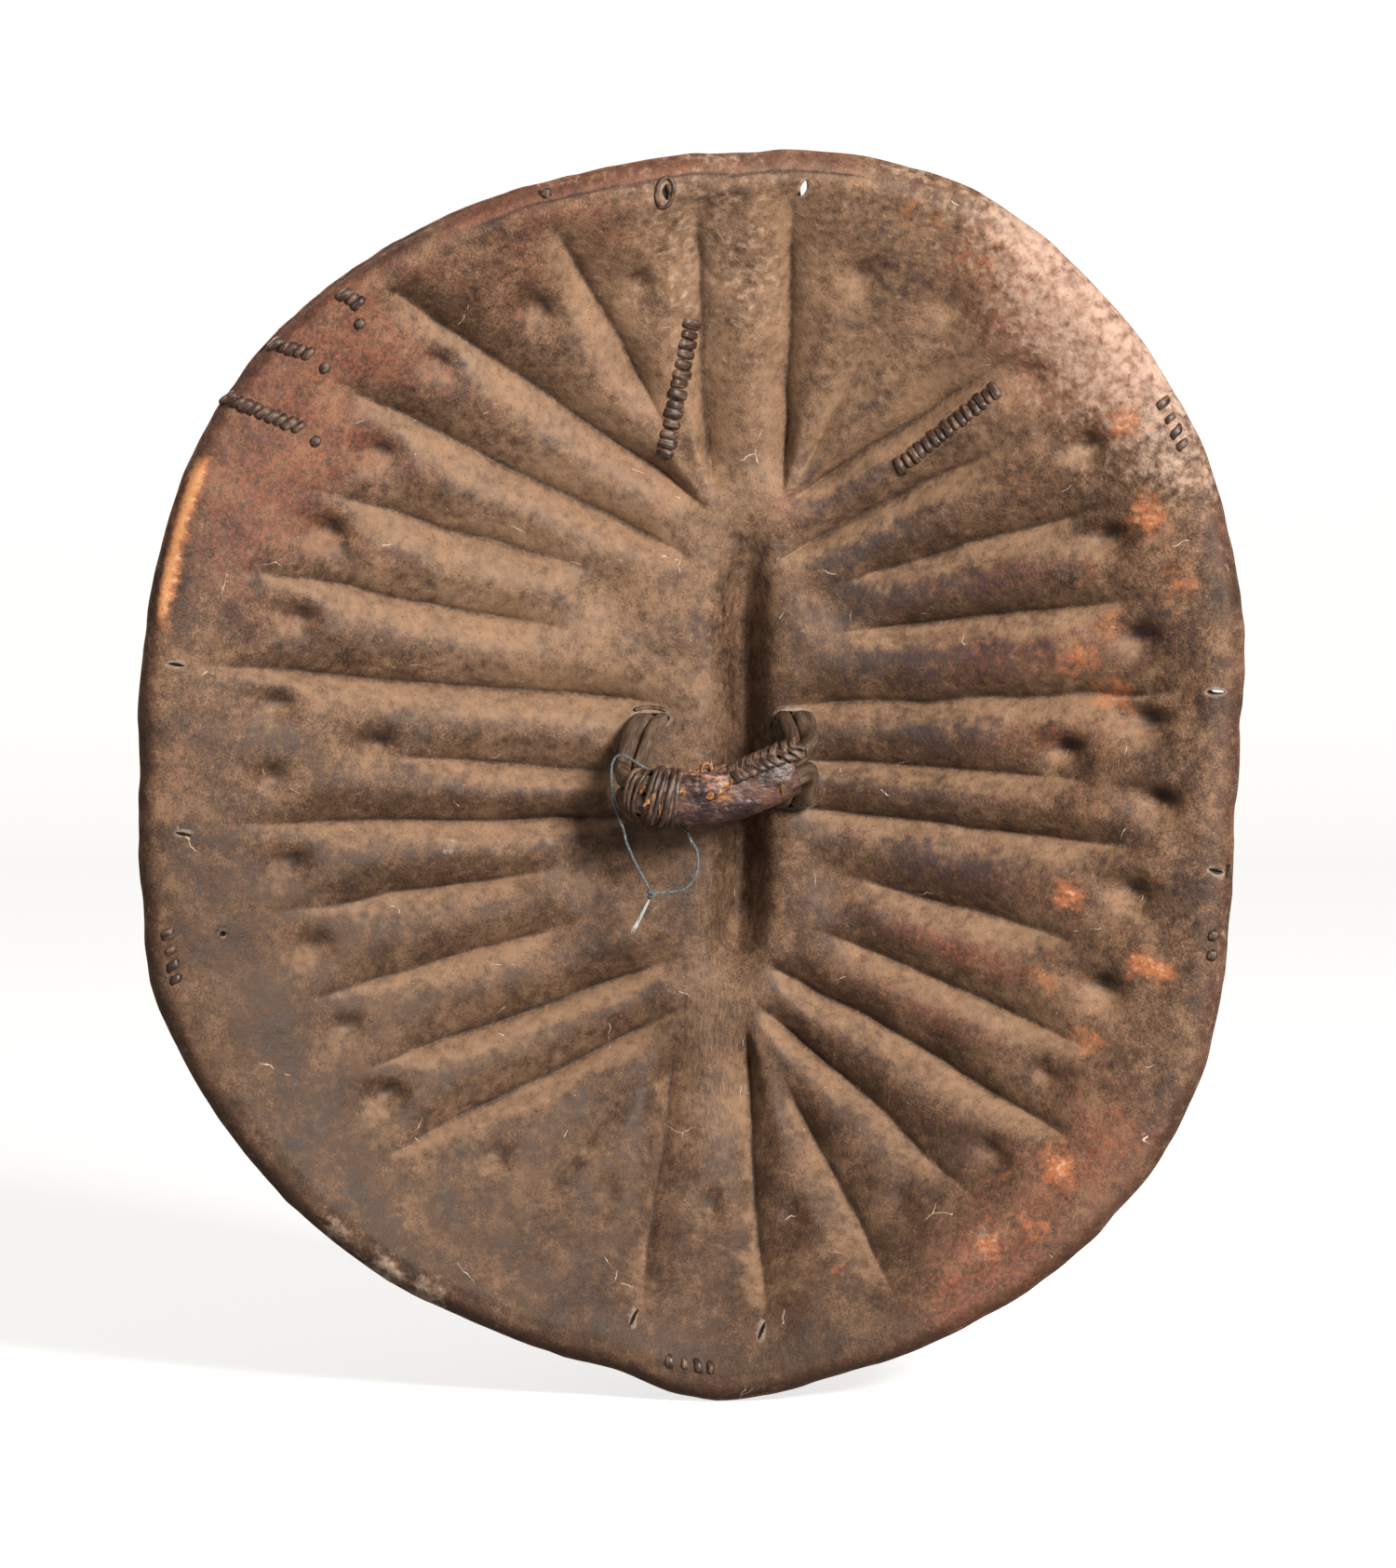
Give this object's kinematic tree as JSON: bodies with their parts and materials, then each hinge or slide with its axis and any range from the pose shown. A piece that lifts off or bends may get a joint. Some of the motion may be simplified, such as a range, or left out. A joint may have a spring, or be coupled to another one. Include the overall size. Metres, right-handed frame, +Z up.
{
  "type": "leather war shield",
  "caption": "Dished leather war shield pressed with a central groove and radiating folds, with a laced strap hand grip, thong repairs at the rim and a tag string.",
  "frame": {"origin": "middle of the hand grip's bar, where the hand closes", "axes": "+Z up along the groove, +X to the holder's right, -Y towards the holder and +Y to the domed front"},
  "size_m": [0.6198, 0.1202, 0.7027],
  "materials": {
    "pressed_hide": "dry pressed hide, mottled brown with dust in the folds and a worn reddish rim",
    "rawhide_strap": "stiff rawhide, greyish brown, polished by the hand",
    "cover_leather": "thin dark leather, glossy and cracked, torn along its seam",
    "rawhide_thong": "narrow rawhide thong, dark and waxy, orange where it is worn",
    "tag_string": "thin grey twisted string with a frayed pale end"
  },
  "bodies": {
    "root": {"hide_shell": "pressed_hide", "outer_grip_strap": "rawhide_strap", "inner_grip_strap": "rawhide_strap", "grip_cover": "cover_leather", "left_end_binding": "rawhide_thong", "seam_plait": "rawhide_thong", "cover_tie_loop": "rawhide_thong", "slit_collar": "rawhide_thong", "rim_slot_collar": "rawhide_thong", "upper_left_repair_lacing": "rawhide_thong", "upper_right_repair_lacing": "rawhide_thong", "rim_repair_lacing_low": "rawhide_thong", "rim_repair_lacing_mid": "rawhide_thong", "rim_repair_lacing_high": "rawhide_thong", "bottom_stitches": "rawhide_thong", "left_rim_stitches": "rawhide_thong", "right_rim_stitches": "rawhide_thong", "top_rim_knot": "rawhide_thong", "high_repair_knot": "rawhide_thong", "mid_repair_knot": "rawhide_thong", "low_repair_knot": "rawhide_thong", "right_rim_knot_upper": "rawhide_thong", "right_rim_knot_lower": "rawhide_thong", "tag_string_hitch": "tag_string"},
    "tag_string": {"tag_string_loop": "tag_string", "tag_knot": "tag_string", "tag_tail": "tag_string"}
  },
  "joints": [
    {"name": "tag_string_swing", "type": "hinge", "parent": "root", "child": "tag_string", "pos_m": [-0.0322, 0.0075, -0.02], "axis": [1, 0, 0], "range_deg": [-80, 35]}
  ]
}
